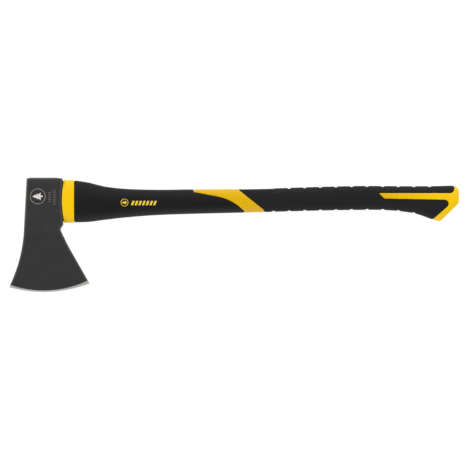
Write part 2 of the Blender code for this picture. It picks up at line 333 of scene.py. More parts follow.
def make_piece(name, points, faces, materials, sharp=32):
    """Make a mesh object, smooth but for the edges sharper than the given degrees."""
    mesh = bpy.data.meshes.new(name)
    mesh.from_pydata([tuple(p) for p in points], [], [tuple(f) for f in faces])
    for material in materials:
        mesh.materials.append(material)
    mesh.shade_smooth()
    mesh.set_sharp_from_angle(angle=math.radians(sharp))
    return add_object(name, mesh)


def store(piece, **layers):
    """Keep a number for each of a piece's points under each name."""
    for name, values in layers.items():
        layer = piece.data.attributes.new(name, "FLOAT", "POINT")
        layer.data.foreach_set("value", values.astype(np.float32))


def loft(rings, looped=False):
    """Join rings of points into a solid with flat ends, or, when looped, the last to the first."""
    count = len(rings[0])
    points = [point for ring in rings for point in ring]
    faces = [] if looped else [range(count)[::-1], range(len(points) - count, len(points))]
    for k in range(len(rings) if looped else len(rings) - 1):
        a, b = k * count, (k + 1) % len(rings) * count
        faces += [(a + i, a + (i + 1) % count, b + (i + 1) % count, b + i) for i in range(count)]
    return points, faces


def oval(x, half_height, half_width, count=72):
    """Return an oval ring across X."""
    turns = [2 * math.pi * i / count for i in range(count)]
    return [(x, half_height * math.cos(t), MID_Z + half_width * math.sin(t)) for t in turns]


def eye_ring(x, inset):
    """Return the eye's oval at x, smaller all round by the inset."""
    t = (x - EYE_TOP[0]) / (EYE_FOOT[0] - EYE_TOP[0])
    half_height = EYE_TOP[1] + t * (EYE_FOOT[1] - EYE_TOP[1])
    half_width = EYE_TOP[2] + t * (EYE_FOOT[2] - EYE_TOP[2])
    return oval(x, half_height - inset, half_width - inset)


def settle(piece, *others, operation="DIFFERENCE", sharp=32):
    """Cut a piece with others, or join them to it, and keep only the result, without slivers."""
    for other in others:
        cut = piece.modifiers.new(other.name, "BOOLEAN")
        cut.operation = operation
        cut.solver = "EXACT"
        cut.object = other
    evaluated = piece.evaluated_get(bpy.context.evaluated_depsgraph_get())
    mesh = bpy.data.meshes.new_from_object(evaluated)
    clean = bmesh.new()
    clean.from_mesh(mesh)
    bmesh.ops.dissolve_degenerate(clean, dist=SLIVER, edges=clean.edges)
    clean.to_mesh(mesh)
    clean.free()
    piece.modifiers.clear()
    piece.data = mesh
    mesh.set_sharp_from_angle(angle=math.radians(sharp))
    for other in others:
        bpy.data.objects.remove(other)
    return piece


poll_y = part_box("axe_head")[1].y
side_outline = [(-0.0277, 0.0362, 0.0006), (-0.0341, -0.0851, 0.2330), (-0.0613, -0.1500, 0)]
side_outline += [(0.0829, -0.1500, 0), (0.0369, -0.0693, 0.1500)]
side_outline += [(0.0250, -0.0445, 0.0050), (0.0300, -0.0370, 0.0030)]
side_outline += [(rear_face_x(y), y, 0) for y in np.linspace(-0.031, 0.033, 12)]
side_outline += [(0.0286, 0.0358, 0.0008), (0.0180, poll_y, 0.0200), (-0.0210, poll_y, 0.0100)]
side_outline = round_corners(side_outline, math.radians(3))

cheek_profile = [(0.0420, 0.0130, 0), (0.0290, HALF, 0.0200), (-0.0350, HALF, 0.0250)]
cheek_profile += [(-0.0520, 0.0075, 0.0500), (-0.1500, 0.0003, 0)]
cheek_profile = round_corners(cheek_profile, math.radians(2))[::-1]


def cheek_height(y):
    """Return the half thickness that the forging dies give at the height y."""
    return np.interp(y, cheek_profile[:, 0], cheek_profile[:, 1])


def grind_start(turns):
    """Return where the ground bevel begins, as radii, at angles round the edge's centre."""
    near, far = np.full_like(turns, EDGE_RADIUS - BEVEL_REACH), np.full_like(turns, EDGE_RADIUS)
    for _ in range(24):
        radius = (near + far) / 2
        height = cheek_height(EDGE_CENTRE[1] - radius * np.cos(turns))
        thicker = (EDGE_RADIUS - radius) * GRIND_SLOPE + EDGE_LAND > height
        near, far = np.where(thicker, radius, near), np.where(thicker, far, radius)
    return near


def edge_polar(points):
    """Return the angles and radii of points round the edge's centre."""
    x, y = (points - EDGE_CENTRE).T
    return np.arctan2(x, -y), np.hypot(x, y)


def edge_points(turns, radii):
    """Return the points at angles from straight down and radii round the edge's centre."""
    return EDGE_CENTRE + np.column_stack((np.sin(turns), -np.cos(turns))) * np.reshape(radii, (-1, 1))


# The outline is cut by the edge's arc, and its sides end where they meet it.
beyond = np.linalg.norm(side_outline - EDGE_CENTRE, axis=1) > EDGE_RADIUS
first = int(np.argmax(beyond))
side_outline = np.roll(side_outline, -first, axis=0)
beyond = np.roll(beyond, -first)
lower_right, lower_left = side_outline[beyond.sum() - 1], side_outline[0]
sides = side_outline[beyond.sum():]


def meet_edge(inner, outer):
    """Return where a side crosses the edge's arc."""
    for _ in range(40):
        half_way = (inner + outer) / 2
        if np.linalg.norm(half_way - EDGE_CENTRE) > EDGE_RADIUS:
            outer = half_way
        else:
            inner = half_way
    return inner


heel, toe = meet_edge(sides[0], lower_right), meet_edge(sides[-1], lower_left)
ends, _ = edge_polar(np.array((toe, heel)))
edge_turns = np.linspace(*ends, 90)
edge_arc = edge_points(edge_turns, EDGE_RADIUS)
head_sides = np.vstack((heel[None], sides, toe[None]))
head_outline = np.vstack((edge_arc, sides))
head_outline = spaced(head_outline, HEAD_GRID)

flat_points = head_outline.tolist()
flat_edges = join_ring(head_outline, 0)
for share in (0.1, 0.35, 0.65, 1.0):
    ring = inner_ring(head_outline, HEAD_ROUNDING * share)
    ring = ring[np.linalg.norm(ring - EDGE_CENTRE, axis=1) < EDGE_RADIUS - SIDE_STOP]
    start = int(np.argmax(np.linalg.norm(np.roll(ring, 1, axis=0) - ring, axis=1)))
    ring = np.roll(ring, -start, axis=0)
    flat_edges += join_ring(ring, len(flat_points), closed=False)
    flat_points += ring.tolist()
for share in (1.0, 0.5):
    ring = edge_points(edge_turns, EDGE_RADIUS - share * (EDGE_RADIUS - grind_start(edge_turns)))
    ring = ring[depth_inside(ring, head_outline) > EDGE_LAND]
    flat_edges += join_ring(ring, len(flat_points), closed=False)
    flat_points += ring.tolist()
grid = grid_over(head_outline, HEAD_GRID)
roomy = depth_inside(grid, head_outline) > HEAD_ROUNDING + RIM_ROOM
turns, reach = edge_polar(grid)
flat_points += grid[roomy & (reach < grind_start(turns) - BEVEL_ROOM)].tolist()
flat, triangles = triangulate(flat_points, flat_edges,
                              lambda middles: depth_inside(middles, head_outline) > 0)


def head_height(places):
    """Return the half thickness of the forged and ground head at places in side view."""
    height = cheek_height(places[:, 1])
    turns, reach = edge_polar(places)
    above_bevel = np.clip((grind_start(turns) - reach) / ROUNDING_FADE, 0, 1)
    side_rounding = np.minimum(HEAD_ROUNDING, THIN_SHARE * height) * above_bevel
    height = height - rounding(depth_inside(places, head_sides, closed=False), side_rounding)
    ground = (EDGE_RADIUS - reach) * GRIND_SLOPE + EDGE_LAND
    height = np.maximum(np.minimum(height, ground), EDGE_LAND)
    waves = np.array([noise.noise(Vector((x / WAVE, y / WAVE, 3.0))) for x, y in places])
    grown = np.clip((height - WAVE_START) / WAVE_START, 0, 1)
    return height - UNEVEN * (WAVE_LEVEL + waves) * grown


head_points, head_faces = solid_from_half(
    np.column_stack((flat, MID_Z + head_height(flat))), triangles)

# Forged carbon steel under a thin matt black stove enamel: a dark grey skin with
# a fine sandy grain from the dies, paler along the long edges, where the coating is worn
# and a painted highlight stands in for the edges catching the light.
black_enamel, tree, place = new_material("black_enamelled_forged_steel")
GRIT = 0.0011                 # drawn coarser than the real 0.2 mm, which is too fine to show
grit = add_node(tree, "ShaderNodeTexNoise", {
    "Vector": place, "Scale": 1 / GRIT, "Detail": 4, "Roughness": 0.6})
cloud = add_node(tree, "ShaderNodeTexNoise", {
    "Vector": place, "Scale": 1 / 0.018, "Detail": 3, "Roughness": 0.55})
tint = add_node(tree, "ShaderNodeMix", {
    0: cloud, 6: linear("252424"), 7: linear("302E2F")}, data_type="RGBA")
rubbed = add_node(tree, "ShaderNodeAttribute", attribute_name="rubbed").outputs["Fac"]
crest = add_node(tree, "ShaderNodeAttribute", attribute_name="crest").outputs["Fac"]
across = add_node(tree, "ShaderNodeSeparateXYZ", {0: place}).outputs[2]
off_middle = add_node(tree, "ShaderNodeMath", {0: across, 1: MID_Z}, operation="SUBTRACT")
off_middle = add_node(tree, "ShaderNodeMath", {0: off_middle}, operation="ABSOLUTE")
below = add_node(tree, "ShaderNodeMath", {0: crest, 1: off_middle}, operation="SUBTRACT")
on_edge = add_node(tree, "ShaderNodeMapRange", {
    "Value": below, "From Max": WEAR_AND_HIGHLIGHT_DROP, "To Min": 1.0, "To Max": 0.0})
patchy = add_node(tree, "ShaderNodeMapRange", {
    "Value": grit, "From Min": 0.3, "From Max": 0.65, "To Min": 0.05, "To Max": 0.85})
wear_and_highlight_share = add_node(tree, "ShaderNodeMath", {0: rubbed, 1: patchy}, operation="MULTIPLY")
wear_and_highlight_share = add_node(tree, "ShaderNodeMath", {0: wear_and_highlight_share, 1: on_edge}, operation="MULTIPLY")
# Wear and painted highlight: near the long edges the tint is mixed toward a pale grey.
tint = add_node(tree, "ShaderNodeMix", {
    0: wear_and_highlight_share, 6: tint, 7: linear("86827E")}, data_type="RGBA")
speckle = add_node(tree, "ShaderNodeMapRange", {
    "Value": grit, "From Min": 0.35, "From Max": 0.75, "To Min": 0.55, "To Max": 0.72})
end_material(tree, {
    "Base Color": tint, "Roughness": speckle, "Specular IOR Level": 0.3},
    height=grit, strength=0.35, distance=0.00012)

# Bare carbon steel off a grinding wheel: bright, with fine scratches that run
# from the edge towards the poll all along the bevel.
ground_steel, tree, place = new_material("ground_carbon_steel")
offset = add_node(tree, "ShaderNodeVectorMath", {
    0: place, 1: (EDGE_CENTRE[0], EDGE_CENTRE[1], 0)}, operation="SUBTRACT")
axes = add_node(tree, "ShaderNodeSeparateXYZ", {0: offset})
down = add_node(tree, "ShaderNodeMath", {0: axes.outputs[1], 1: -1.0}, operation="MULTIPLY")
turn = add_node(tree, "ShaderNodeMath", {0: axes, 1: down}, operation="ARCTAN2")
SCRATCH = 0.0005              # between scratches; the real ones are 0.1 mm apart
count = add_node(tree, "ShaderNodeMath", {
    0: turn, 1: EDGE_RADIUS / SCRATCH}, operation="MULTIPLY")
scratch = add_node(tree, "ShaderNodeTexNoise", {
    "W": count, "Scale": 1.0, "Detail": 2}, noise_dimensions="1D")
tint = add_node(tree, "ShaderNodeMix", {
    0: scratch, 6: linear("B8B5B1"), 7: linear("E2DFDB")}, data_type="RGBA")
rough = add_node(tree, "ShaderNodeMapRange", {
    "Value": scratch, "To Min": 0.26, "To Max": 0.42})
end_material(tree, {
    "Base Color": tint, "Metallic": 1.0, "Roughness": rough},
    height=scratch, strength=0.4, distance=0.00004)

head = make_piece("forged_head", head_points, head_faces, [black_enamel, ground_steel], sharp=9)
middles = np.array([face.center[:2] for face in head.data.polygons])
turns, reach = edge_polar(middles)
bare = reach > grind_start(turns) + EDGE_LAND
head.data.polygons.foreach_set("material_index", bare.astype(int))

# The eye's mouth is eased by 1.2 mm at both ends, as the drift leaves it. What
# cuts it flares on past the head.
MOUTH = 0.0012
MOUTH_TOP, MOUTH_FOOT = -0.0284, 0.0279
CUTTER_SPAN, CUTTER_FLARE = (-0.040, 0.036), MOUTH * 8
eye_rings = [eye_ring(x, inset) for x, inset in (
    (CUTTER_SPAN[0], -CUTTER_FLARE), (MOUTH_TOP, -MOUTH), (MOUTH_TOP + MOUTH, 0),
    (MOUTH_FOOT - MOUTH, 0), (MOUTH_FOOT, -MOUTH), (CUTTER_SPAN[1], -CUTTER_FLARE))]
settle(head, make_piece("eye_hole", *loft(eye_rings), []), sharp=20)

# Along the head's long edges the coating is drawn worn thin, partly as a painted
# highlight, but less so low on the blade and beside the handle.
tops = np.empty((len(head.data.vertices), 3))
head.data.vertices.foreach_get("co", tops.reshape(-1))
rub = np.exp(-(depth_inside(tops[:, :2], head_sides, closed=False) / WEAR_AND_HIGHLIGHT_WIDTH) ** 2)
rear_share = np.where(tops[:, 0] > REAR_WEAR_AND_HIGHLIGHT[0], REAR_WEAR_AND_HIGHLIGHT[1], 1)
rub *= np.where(tops[:, 1] < LOW_WEAR_AND_HIGHLIGHT[0], LOW_WEAR_AND_HIGHLIGHT[1], rear_share)
store(head, rubbed=rub, crest=head_height(tops[:, :2]))
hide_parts("axe_head")
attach(head, "root")

# ---------------------------------------------------------------------------
# Mark on the head
# A plain tree in a ring with two rows of ticks, printed on one cheek in a light
# grey ink about as thick as paint. It only stands where a maker would put a mark.
# ---------------------------------------------------------------------------
INK = 0.00006                             # how far the ink stands up
INK_GRID = 0.0009
MARK_PLACE = (-0.0100, 0.0075)
RING_RADII, TREE_SIZE = (0.0122, 0.0114), 0.0165    # the tree is drawn about one unit high
TICK = (0.0042, 0.0013)                   # width and height
TICK_ROWS = ((0.0087, 0.0135, -0.0003, 6), (0.0162, 0.0168, -0.0051, 9))    # x, both ends, count
TREE = ((0, 0.50), (0.18, 0.24), (0.10, 0.24), (0.27, 0), (0.16, 0), (0.36, -0.28), (0.07, -0.28),
        (0.07, -0.48), (-0.07, -0.48), (-0.07, -0.28), (-0.36, -0.28), (-0.16, 0), (-0.27, 0),
        (-0.10, 0.24), (-0.18, 0.24))


def placed(outline, place, size=1.0, turn=0.0):
    """Return an outline scaled, turned and then moved to its place."""
    outline = np.array(outline, float) * size
    cosine, sine = math.cos(turn), math.sin(turn)
    return outline @ np.array(((cosine, sine), (-sine, cosine))) + place


def disc(radius, count=72):
    """Return a round outline."""
    turns = 2 * math.pi * np.arange(count) / count
    return radius * np.column_stack((np.cos(turns), np.sin(turns)))


def bar(width, height, slant=0.0):
    """Return a bar's outline, its top shifted by the slant."""
    x, y = width / 2, height / 2
    return np.array(((-x - slant / 2, -y), (x - slant / 2, -y), (x + slant / 2, y), (-x + slant / 2, y)))


def printed(name, shapes, height_at, ink):
    """Make flat shapes, each an outline and its holes, stand a little above a surface."""
    points, faces = [], []
    for outline, *holes in shapes:
        rims = [spaced(rim, INK_GRID) for rim in (outline, *holes)]
        flat, edges = [], []
        for rim in rims:
            edges += join_ring(rim, len(flat))
            flat += rim.tolist()
        grid = grid_over(rims[0], INK_GRID)

        def inked(places, room=0.0):
            depths = [depth_inside(places, rims[0])]
            depths += [-depth_inside(places, hole) for hole in rims[1:]]
            return np.min(depths, axis=0) > room

        flat += grid[inked(grid, INK_GRID / 3)].tolist()
        flat, triangles = triangulate(flat, edges, inked)
        height = height_at(flat)
        first = len(points)
        points += np.column_stack((flat, height + INK)).tolist()
        points += np.column_stack((flat, height - INK)).tolist()
        faces += (triangles + first).tolist()
        faces += (triangles[:, ::-1] + first + len(flat)).tolist()
        faces += [(b + first, a + first, a + first + len(flat), b + first + len(flat))
                  for a, b in open_edges(triangles)]
    return make_piece(name, points, faces, [ink], sharp=60)


def ink_material(name, dark, light, roughness):
    """Make a printing ink: thin, with the surface below showing in fine pinholes."""
    ink, tree, place = new_material(name)
    pinholes = add_node(tree, "ShaderNodeTexNoise", {"Vector": place, "Scale": 1 / 0.0008, "Detail": 3})
    amount = add_node(tree, "ShaderNodeMapRange", {
        "Value": pinholes, "From Min": 0.32, "From Max": 0.5})
    tint = add_node(tree, "ShaderNodeMix", {
        0: amount, 6: linear(dark), 7: linear(light)}, data_type="RGBA")
    end_material(tree, {
        "Base Color": tint, "Roughness": roughness},
        height=pinholes, strength=0.3, distance=0.00003)
    return ink


def cheek_surface(places):
    """Return the height of the head's upper side."""
    return MID_Z + head_height(places)


# Screen-printed enamel ink: off-white for the tree, the same ink thinner for the rest.
white_ink = ink_material("off_white_printing_ink", "B9B6AC", "DEDBD1", 0.5)
grey_ink = ink_material("thin_grey_printing_ink", "726E68", "959188", 0.55)
faint_ink = ink_material("faint_grey_printing_ink", "3C3A38", "5A5652", 0.6)
quarter = math.pi / 2
ring = [placed(disc(radius), MARK_PLACE) for radius in RING_RADII]
tree_shape = placed(TREE, MARK_PLACE, TREE_SIZE, quarter)
ticks = [[placed(bar(*TICK), (x, y))] for x, *row in TICK_ROWS for y in np.linspace(*row)]
for name, shapes, ink in (("head_mark_tree", [[tree_shape]], white_ink),
                          ("head_mark_ring", [ring], grey_ink), ("head_mark_ticks", ticks, faint_ink)):
    mark = printed(name, shapes, cheek_surface, ink)
    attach(mark, "root")

# ---------------------------------------------------------------------------
# Eye filling and seal
# Black epoxy poured round the handle's tongue from the top of the eye, where it
# sets with a low rim up the wall. A black foam ring dams it at the handle's side
# and ends in a lip between the head and the collar; the lip's black also stands in
# for the shade in that gap.
# ---------------------------------------------------------------------------
RESIN_THICKNESS = 0.0018
GAP = 0.0003
RESIN_CLEAR = 0.0001                      # between the resin and the eye's wall
RESIN_TOP, RESIN_FOOT = -0.0266, 0.0216
RESIN_DISH = 0.0002                       # how far it sinks towards the middle
TONGUE_END = -0.0245
MENISCUS = ((0.0, -0.0010), (0.0002, -0.00065), (0.0005, -0.0003), (0.0010, -0.0001), (0.0018, 0.0))
DAM_START = 0.0219                        # just past the resin
SEAL_SINK = 0.0011                        # how far the lip stays below the collar
# The lip partly stands in for the shade in the gap between the head and the collar.
LIP = (                                   # how far off the head, and how much lower
    (0.0001, 0.0004), (0.0003, 0.0), (0.0009, 0.0), (0.0011, 0.0004))
SECTION_POWER = 2.5                       # of the handle's squarish oval section
COLLAR_HALF = (0.0334, 0.0161)            # half height and half thickness

rings = [eye_ring(x, RESIN_THICKNESS - GAP) for x in (TONGUE_END - GAP, RESIN_FOOT)]
rings += [eye_ring(RESIN_FOOT, RESIN_CLEAR)]
rings += [eye_ring(RESIN_TOP + rise, RESIN_CLEAR + inward) for inward, rise in MENISCUS]
for share in (0.35, 0.7):
    x = RESIN_TOP + RESIN_DISH * share
    rings.append([(x, y * (1 - share), MID_Z + (z - MID_Z) * (1 - share))
                  for _, y, z in eye_ring(RESIN_TOP, RESIN_CLEAR + MENISCUS[-1][0])])

# Epoxy resin with a black filler: cast, so glossy, with a few small bubbles.
black_epoxy, tree, place = new_material("black_filled_epoxy")
bubbles = add_node(tree, "ShaderNodeTexVoronoi", {"Vector": place, "Scale": 1 / 0.0022})
pits = add_node(tree, "ShaderNodeMapRange", {
    "Value": bubbles, "From Min": 0.06, "From Max": 0.16}, interpolation_type="SMOOTHSTEP")
haze = add_node(tree, "ShaderNodeTexNoise", {"Vector": place, "Scale": 1 / 0.004, "Detail": 3})
tint = add_node(tree, "ShaderNodeMix", {
    0: haze, 6: linear("1E1C1A"), 7: linear("34302B")}, data_type="RGBA")
rough = add_node(tree, "ShaderNodeMapRange", {
    "Value": haze, "To Min": 0.16, "To Max": 0.34})
end_material(tree, {
    "Base Color": tint, "Roughness": rough, "IOR": 1.55},
    height=pits, strength=0.6, distance=0.0001)

resin = make_piece("eye_epoxy", *loft(rings[::-1]), [black_epoxy], sharp=40)
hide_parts("eye_resin")
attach(resin, "root")


def squarish(values):
    """Turn cosines or sines into those of the handle's section."""
    return np.sign(values) * np.abs(values) ** (2 / SECTION_POWER)


def on_rear_face(ring, rise):
    """Move a ring of points along X to just off the head's dished rear face."""
    return [(rear_face_x(y) + rise, y, z) for _, y, z in ring]


def collar_ring(rise, inset):
    """Return a ring of the handle's section just off the head's rear face."""
    ring = [(0, (COLLAR_HALF[0] - inset) * squarish(y),
             MID_Z + (COLLAR_HALF[1] - inset) * squarish(z - MID_Z)) for _, y, z in oval(0, 1, 1)]
    return on_rear_face(ring, rise)


tongue_room = eye_ring(DAM_START, RESIN_THICKNESS - GAP)
eye_wall = eye_ring(DAM_START, GAP)
seal_rings = [tongue_room, eye_wall, on_rear_face(eye_wall, LIP[0][0])]
seal_rings += [collar_ring(rise, SEAL_SINK + lower) for rise, lower in LIP]
seal_rings += [on_rear_face(tongue_room, LIP[-1][0])]

# Closed-cell neoprene foam: dull black with fine open pores where it was cut.
black_foam, tree, place = new_material("black_neoprene_foam")
pores = add_node(tree, "ShaderNodeTexVoronoi", {"Vector": place, "Scale": 1 / 0.0006})
tint = add_node(tree, "ShaderNodeMix", {
    0: pores, 6: linear("0C0C0C"), 7: linear("1D1C1C")}, data_type="RGBA")
end_material(tree, {
    "Base Color": tint, "Roughness": 0.9, "Specular IOR Level": 0.25},
    height=pores, strength=0.7, distance=0.0001)

seal = make_piece("eye_seal", *loft(seal_rings, looped=True), [black_foam], sharp=50)
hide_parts("dam_ring")
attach(seal, "root")

# ---------------------------------------------------------------------------
# Fibreglass core
# A pultruded flat bar right through the handle, with its rovings lengthwise. It
# is bonded in the handle body, and nothing of it shows. The frame's own bar stays.
# ---------------------------------------------------------------------------
ROVING = 0.0008

# Polyester resin over straight glass rovings: pale straw with long fine streaks.
fibreglass, tree, place = new_material("pultruded_fibreglass")
stretch = add_node(tree, "ShaderNodeVectorMath", {
    0: place, 1: (1 / 0.08, 1 / ROVING, 1 / ROVING)}, operation="MULTIPLY")
streaks = add_node(tree, "ShaderNodeTexNoise", {"Vector": stretch, "Scale": 1.0, "Detail": 3})
tint = add_node(tree, "ShaderNodeMix", {
    0: streaks, 6: linear("C9BC8E"), 7: linear("E9E0BE")}, data_type="RGBA")
end_material(tree, {
    "Base Color": tint, "Roughness": 0.4, "IOR": 1.55},
    height=streaks, strength=0.5, distance=0.0001)
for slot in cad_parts["core_rod"].material_slots:
    slot.material = fibreglass

# ---------------------------------------------------------------------------
# Yellow handle body
# Polypropylene moulded round the core. It shows as the collar, the slanting
# band, the long stripe and the butt, which stand proud with rounded edges. The
# rest of it lies 3 mm lower, under the black skins.
# ---------------------------------------------------------------------------
STATIONS = np.array((                     # x, spine, belly, half thickness
    (0.0240, 0.0335, -0.0341, 0.0161), (0.0470, 0.0335, -0.0341, 0.0161),
    (0.0600, 0.0315, -0.0336, 0.0159), (0.0730, 0.0289, -0.0326, 0.0156),
    (0.0860, 0.0255, -0.0309, 0.0152), (0.0980, 0.0229, -0.0293, 0.0148),
    (0.1270, 0.0197, -0.0260, 0.0142), (0.1740, 0.0182, -0.0223, 0.0137),
    (0.2310, 0.0187, -0.0202, 0.0136), (0.3450, 0.0199, -0.0174, 0.0138),
    (0.4210, 0.0223, -0.0152, 0.0141), (0.4970, 0.0241, -0.0139, 0.0146),
    (0.5400, 0.0240, -0.0142, 0.0151), (0.5720, 0.0238, -0.0172, 0.0156),
    (0.5920, 0.0238, -0.0213, 0.0160), (0.6200, 0.0240, -0.0314, 0.0164),
    (0.6400, 0.0245, -0.0370, 0.0165), (0.6600, 0.0245, -0.0410, 0.0165)))
COLLAR_GAP = 0.0013                       # behind the head, with the seal's lip in it
COLLAR_EDGE, BUTT_EDGE = 0.0009, 0.0045
BUTT_SIDE = 0.1                           # past this x an end edge is the butt's
FLATTER = 0.8                             # share of the butt's rounding that only thins it
LAND_EDGE = 0.0011                        # rounding where the yellow meets a skin
LAND_STEPS = (0, 0.00015, 0.0004, 0.0007, 0.0011)
END_STEPS = (0, 0.00015, 0.0005, 0.0010, 0.0018, 0.0030, 0.0045)
UNDER_SKIN = 0.0030
UNDER_STEP = 0.00012                      # how far under a skin the land's wall stands
RIM_GAP = 0.0008                          # between points along the rings of a skin or a land
RING_GAP, BEND = 0.0011, 0.2              # the same once unrolled, and the turn that adds a point
TRACE_GAP, NO_LEG = 0.00004, 1e-9         # between traced points, and a gap that is none
BODY_GRID = (0.0015, 0.0016)
LAND_ROOM, UNDER_ROOM, END_ROOM = 0.0022, 0.0008, 0.0007    # between that grid and the rings
MIDDLING = (0.020, 0.014)                 # half height and half thickness of the section unrolled
TONGUE_SPAN = (-0.0245, 0.0450)
CORE_END, CORE_Y, CORE_FLAT, CORE_RADIUS = 0.6203, 0.0015, 0.0040, 0.0073
CORE_PAST = 0.01                          # how far its channel is cut on past the tongue
CORE_COUNT = 32                           # points round it

sleeve_outline = round_corners([
    (0.0472, 0.0460, 0), (0.0472, -0.0460, 0), (0.3450, -0.0460, 0), (0.2968, 0.0031, 0.0770),
    (0.2360, 0.0153, 0.0010), (0.2360, 0.0460, 0)])
grip_outline = round_corners([
    (0.2742, 0.0460, 0), (0.3468, -0.0143, 0.0015), (0.3474, -0.0440, 0), (0.5984, -0.0440, 0),
    (0.6486, 0.0022, 0.0065), (0.5376, 0.0040, 0.0005), (0.5283, 0.0131, 0.0005),
    (0.6477, 0.0131, 0.0070), (0.6477, 0.0460, 0)])
body_outline = [(rear_face_x(y) + COLLAR_GAP, y, 0) for y in np.linspace(-0.046, 0.046, 24)]
body_outline += [(0.6340, 0.0460, 0), (0.6553, 0.0187, 0.0060), (0.6553, -0.0026, 0.0040)]
body_outline += [(0.6264, -0.0323, 0.0050), (0.5800, -0.0323, 0), (0.5000, -0.0440, 0)]
body_outline = round_corners(body_outline)

station_slopes = np.empty_like(STATIONS)
for i in range(len(STATIONS)):
    rise = STATIONS[min(i + 1, len(STATIONS) - 1)] - STATIONS[max(i - 1, 0)]
    station_slopes[i] = rise / rise[0]


def handle_size(x):
    """Return the handle's middle height, half height and half thickness at each x."""
    after = np.clip(np.searchsorted(STATIONS[:, 0], x), 1, len(STATIONS) - 1)
    start, end = STATIONS[after - 1], STATIONS[after]
    length = (end[:, 0] - start[:, 0])[:, None]
    t = (x - start[:, 0])[:, None] / length
    leave, arrive, rise = station_slopes[after - 1] * length, station_slopes[after] * length, end - start
    size = start + t * (leave + t * (3 * rise - 2 * leave - arrive + t * (leave + arrive - 2 * rise)))
    return (size[:, 1] + size[:, 2]) / 2, (size[:, 1] - size[:, 2]) / 2, size[:, 3]


# Half of the handle's skin unrolled: x, and the way round from the spine to the
# belly, both in metres, taken on a section of middling size.
section_turns = np.linspace(0, math.pi, 6001)
section_y, section_z = squarish(np.cos(section_turns)), squarish(np.sin(section_turns))
steps = np.hypot(np.diff(MIDDLING[0] * section_y), np.diff(MIDDLING[1] * section_z))
section_way = np.concatenate(((0,), np.cumsum(steps)))
WAY = section_way[-1]


def onto_handle(sheet, inset, flattened=0):
    """Return the handle's surface at places on the unrolled half, sunk and flattened so much."""
    middle_y, half_height, half_width = handle_size(sheet[:, 0])
    turns = np.interp(sheet[:, 1], section_way, section_turns)
    up, out = squarish(np.cos(turns)), squarish(np.sin(turns))
    out[(sheet[:, 1] < SEAM) | (sheet[:, 1] > WAY - SEAM)] = 0
    return np.column_stack((sheet[:, 0], middle_y + (half_height - inset) * up,
                            MID_Z + (half_width - inset - flattened) * out))


def side_view(sheet):
    """Return the x and y of places on the unrolled half."""
    return onto_handle(sheet, 0)[:, :2]


def sheet_lines(outline):
    """Return the parts of a side outline that cross the handle, as lines on the unrolled half."""
    fine = spaced(outline, TRACE_GAP)
    middle_y, half_height, _ = handle_size(np.clip(fine[:, 0], *STATIONS[[0, -1], 0]))
    share = (fine[:, 1] - middle_y) / half_height
    on = np.abs(share) < 1
    start = 0 if on.all() else int(np.argmax(on & ~np.roll(on, 1)))
    fine, share, on = (np.roll(values, -start, axis=0) for values in (fine, share, on))
    cosine = np.sign(share) * np.minimum(np.abs(share), 1) ** (SECTION_POWER / 2)
    ways = np.interp(np.arccos(cosine), section_turns, section_way)
    sheet = np.column_stack((fine[:, 0], ways))
    if on.all():
        runs = [sheet]
    else:
        breaks = np.flatnonzero(np.diff(on.astype(int))) + 1
        runs = []
        for run in np.split(np.arange(len(sheet)), breaks):
            if not on[run[0]]:
                continue
            # Each end goes to the point where the outline leaves the silhouette.
            ends = []
            for last, beyond in ((run[0], run[0] - 1), (run[-1], (run[-1] + 1) % len(sheet))):
                t = (1 - abs(share[last])) / (abs(share[beyond]) - abs(share[last]))
                x = fine[last, 0] + t * (fine[beyond, 0] - fine[last, 0])
                ends.append((x, 0.0 if share[last] > 0 else WAY))
            runs.append(np.vstack((ends[:1], sheet[run], ends[1:])))
    lines = []
    for run in runs:
        legs = np.diff(run, axis=0)
        lengths = np.hypot(*legs.T)
        real = lengths > NO_LEG
        legs, run = legs[real], run[np.concatenate(((True,), real))]
        bends = np.abs(np.diff(np.unwrap(np.arctan2(legs[:, 1], legs[:, 0]))))
        amount = np.hypot(*legs.T) / RING_GAP
        amount[1:] += np.minimum(bends, 2 * BEND) / BEND
        level = np.floor(np.concatenate(((0,), np.cumsum(amount))))
        keep = np.diff(level, prepend=-1) > 0
        keep[-1] = True
        keep[-2] = keep[-2] and level[-1] > level[-2]
        lines.append(run[keep])
    return lines, bool(on.all())


def unrolled(rings, grid_step, roomy, keep):
    """Triangulate part of the unrolled half round rings, with a grid where there is room."""
    points, edges = [], []
    for ring in rings:
        lines, closed = sheet_lines(ring)
        for line in lines:
            edges += join_ring(line, len(points), closed)
            points += line.tolist()
    ring_count = len(points)
    low, high = np.array(points).min(axis=0), np.array(points).max(axis=0)
    columns = max(2, round((high[0] - low[0]) / grid_step[0]))
    rows = round(WAY / grid_step[1])
    grid = grid_of(np.linspace(low[0], high[0], columns), np.linspace(0, WAY, rows + 1))
    points += grid[roomy(side_view(grid))].tolist()
    sheet, triangles = triangulate(points, edges, lambda middles: keep(side_view(middles)))
    return sheet, triangles[:, ::-1], ring_count


def land_depth(places):
    """Return how far places in side view are from the skins, on the yellow."""
    return -np.maximum(depth_inside(places, sleeve_outline), depth_inside(places, grip_outline))


def body_room(places):
    """Say which grid places keep clear of the rings, and thin them out under the skins."""
    depth = land_depth(places)
    end = depth_inside(places, body_outline)
    clear = (depth > LAND_ROOM) | (depth < -UNDER_ROOM)
    wear_and_highlight_share = (np.round(places[:, 0] / BODY_GRID[0]).astype(int) % 3 == 0) | (depth > 0)
    return clear & wear_and_highlight_share & (end > END_STEPS[-1] + END_ROOM)


